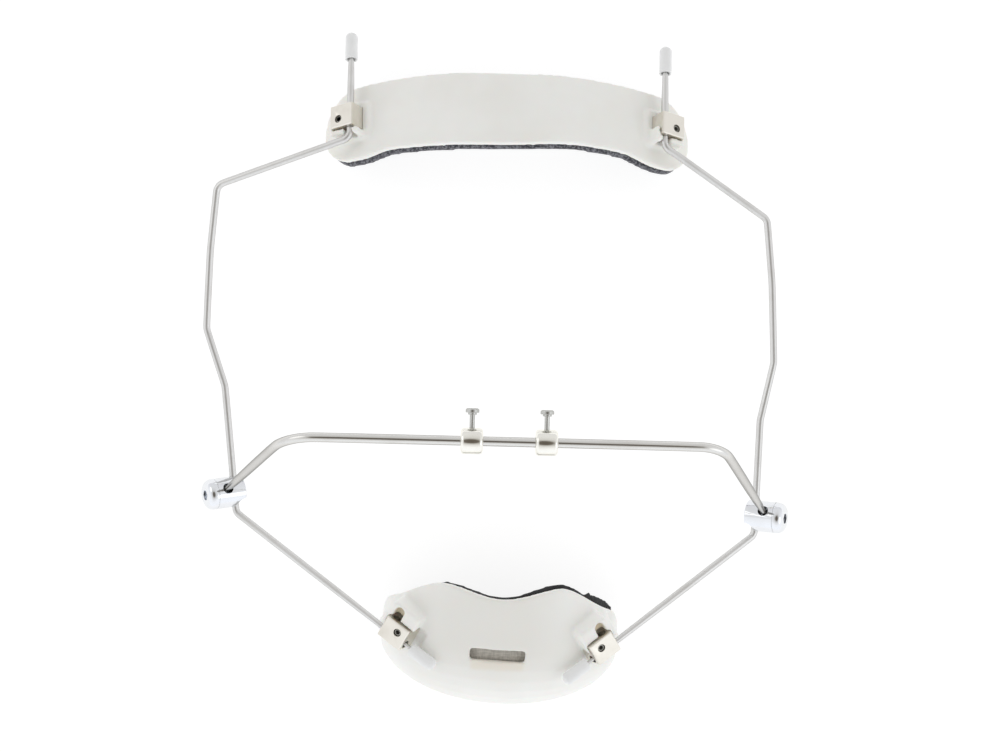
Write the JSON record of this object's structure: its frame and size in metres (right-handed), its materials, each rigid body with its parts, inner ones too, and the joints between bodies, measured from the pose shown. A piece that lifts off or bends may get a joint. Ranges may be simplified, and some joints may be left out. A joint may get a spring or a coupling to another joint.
{
  "type": "reverse-pull face mask",
  "caption": "Orthodontic face mask: padded forehead and chin shells on bent side wires, with a sliding crossbar and screw hooks for elastics.",
  "frame": {"origin": "on the table, under the middle of the outline, with the mask lying on its back", "axes": "+X to the right seen from in front, +Y from the chin cup to the forehead pad, +Z forwards, away from the wearer's face"},
  "size_m": [0.215, 0.2417, 0.0628],
  "materials": {
    "ivory_plastic": "satin moulded",
    "grey_fabric": "speckled cloth over foam",
    "black_foam": "matte foam",
    "drawn_steel": "drawn and polished",
    "nickel_plate": "bright nickel plate",
    "chrome_plate": "mirror polished",
    "cap_rubber": "soft and milky"
  },
  "bodies": {
    "wire_frame": {"left_side_wire": "drawn_steel", "right_side_wire": "drawn_steel", "left_forehead_cap": "cap_rubber", "right_forehead_cap": "cap_rubber", "left_chin_cap": "cap_rubber", "right_chin_cap": "cap_rubber", "chin_shell": "ivory_plastic", "chin_liner": "black_foam", "left_chin_block": "nickel_plate", "right_chin_block": "nickel_plate"},
    "forehead_pad": {"forehead_shell": "ivory_plastic", "forehead_liner": "grey_fabric", "left_forehead_block": "nickel_plate", "right_forehead_block": "nickel_plate"},
    "crossbar": {"crossbar": "drawn_steel"},
    "left_barrel": {"left_barrel": "chrome_plate"},
    "left_dome_screw": {"left_dome_screw": "chrome_plate"},
    "right_barrel": {"right_barrel": "chrome_plate"},
    "right_dome_screw": {"right_dome_screw": "chrome_plate"},
    "left_hook_collar": {"left_hook_collar": "nickel_plate"},
    "left_hook_screw": {"left_hook_screw": "nickel_plate"},
    "right_hook_collar": {"right_hook_collar": "nickel_plate"},
    "right_hook_screw": {"right_hook_screw": "nickel_plate"},
    "left_forehead_set_screw": {"left_forehead_set_screw": "drawn_steel"},
    "right_forehead_set_screw": {"right_forehead_set_screw": "drawn_steel"},
    "left_chin_set_screw": {"left_chin_set_screw": "drawn_steel"},
    "right_chin_set_screw": {"right_chin_set_screw": "drawn_steel"}
  },
  "joints": [
    {"name": "forehead_slide", "type": "slide", "parent": "wire_frame", "child": "forehead_pad", "axis": [-0.0206, 0.9657, -0.2588], "range_m": [0, 0.01]},
    {"name": "left_barrel_slide", "type": "slide", "parent": "wire_frame", "child": "left_barrel", "axis": [-0.1192, 0.9924, 0.0303], "range_m": [0, 0.02]},
    {"name": "right_barrel_slide", "type": "slide", "parent": "wire_frame", "child": "right_barrel", "axis": [0.0072, 0.9994, 0.0335], "range_m": [0, 0.0197]},
    {"name": "crossbar_slide", "type": "slide", "parent": "left_barrel", "child": "crossbar", "axis": [0.468, 0.3848, 0.7956], "range_m": [0, 0.003]},
    {"name": "left_dome_screw_turn", "type": "hinge", "parent": "left_barrel", "child": "left_dome_screw", "pos_m": [-0.1006, -0.04805, 0.0126], "axis": [-0.8304, -0.1164, 0.5448], "continuous": true},
    {"name": "right_dome_screw_turn", "type": "hinge", "parent": "right_barrel", "child": "right_dome_screw", "pos_m": [0.10274, -0.04886, 0.01201], "axis": [0.883, -0.022, 0.4688], "continuous": true},
    {"name": "left_collar_slide", "type": "slide", "parent": "crossbar", "child": "left_hook_collar", "axis": [0.9997, 0.0121, -0.0217], "range_m": [-0.04, 0.007]},
    {"name": "left_hook_screw_turn", "type": "hinge", "parent": "left_hook_collar", "child": "left_hook_screw", "pos_m": [-0.00748, -0.02319, 0.05837], "axis": [-0.0121, 0.9999, 0.0003], "continuous": true},
    {"name": "right_collar_slide", "type": "slide", "parent": "crossbar", "child": "right_hook_collar", "axis": [0.9997, 0.0121, -0.0217], "range_m": [-0.007, 0.04]},
    {"name": "right_hook_screw_turn", "type": "hinge", "parent": "right_hook_collar", "child": "right_hook_screw", "pos_m": [0.01721, -0.02289, 0.05784], "axis": [-0.0121, 0.9999, 0.0003], "continuous": true},
    {"name": "left_forehead_set_screw_turn", "type": "hinge", "parent": "forehead_pad", "child": "left_forehead_set_screw", "pos_m": [-0.05991, 0.08779, 0.02006], "axis": [-0.5235, 0.1968, 0.829], "continuous": true},
    {"name": "right_forehead_set_screw_turn", "type": "hinge", "parent": "forehead_pad", "child": "right_forehead_set_screw", "pos_m": [0.06036, 0.08904, 0.01972], "axis": [0.5243, 0.2176, 0.8233], "continuous": true},
    {"name": "left_chin_set_screw_turn", "type": "hinge", "parent": "wire_frame", "child": "left_chin_set_screw", "pos_m": [-0.03137, -0.09253, 0.02884], "axis": [-0.3688, -0.1656, 0.9146], "continuous": true},
    {"name": "right_chin_set_screw_turn", "type": "hinge", "parent": "wire_frame", "child": "right_chin_set_screw", "pos_m": [0.04002, -0.09519, 0.0287], "axis": [0.4116, -0.1767, 0.8941], "continuous": true}
  ],
  "couplings": [
    {"joint": "right_barrel_slide", "follows": "left_barrel_slide", "ratio": 0.98384},
    {"joint": "crossbar_slide", "follows": "left_barrel_slide", "ratio": 0.14514}
  ]
}
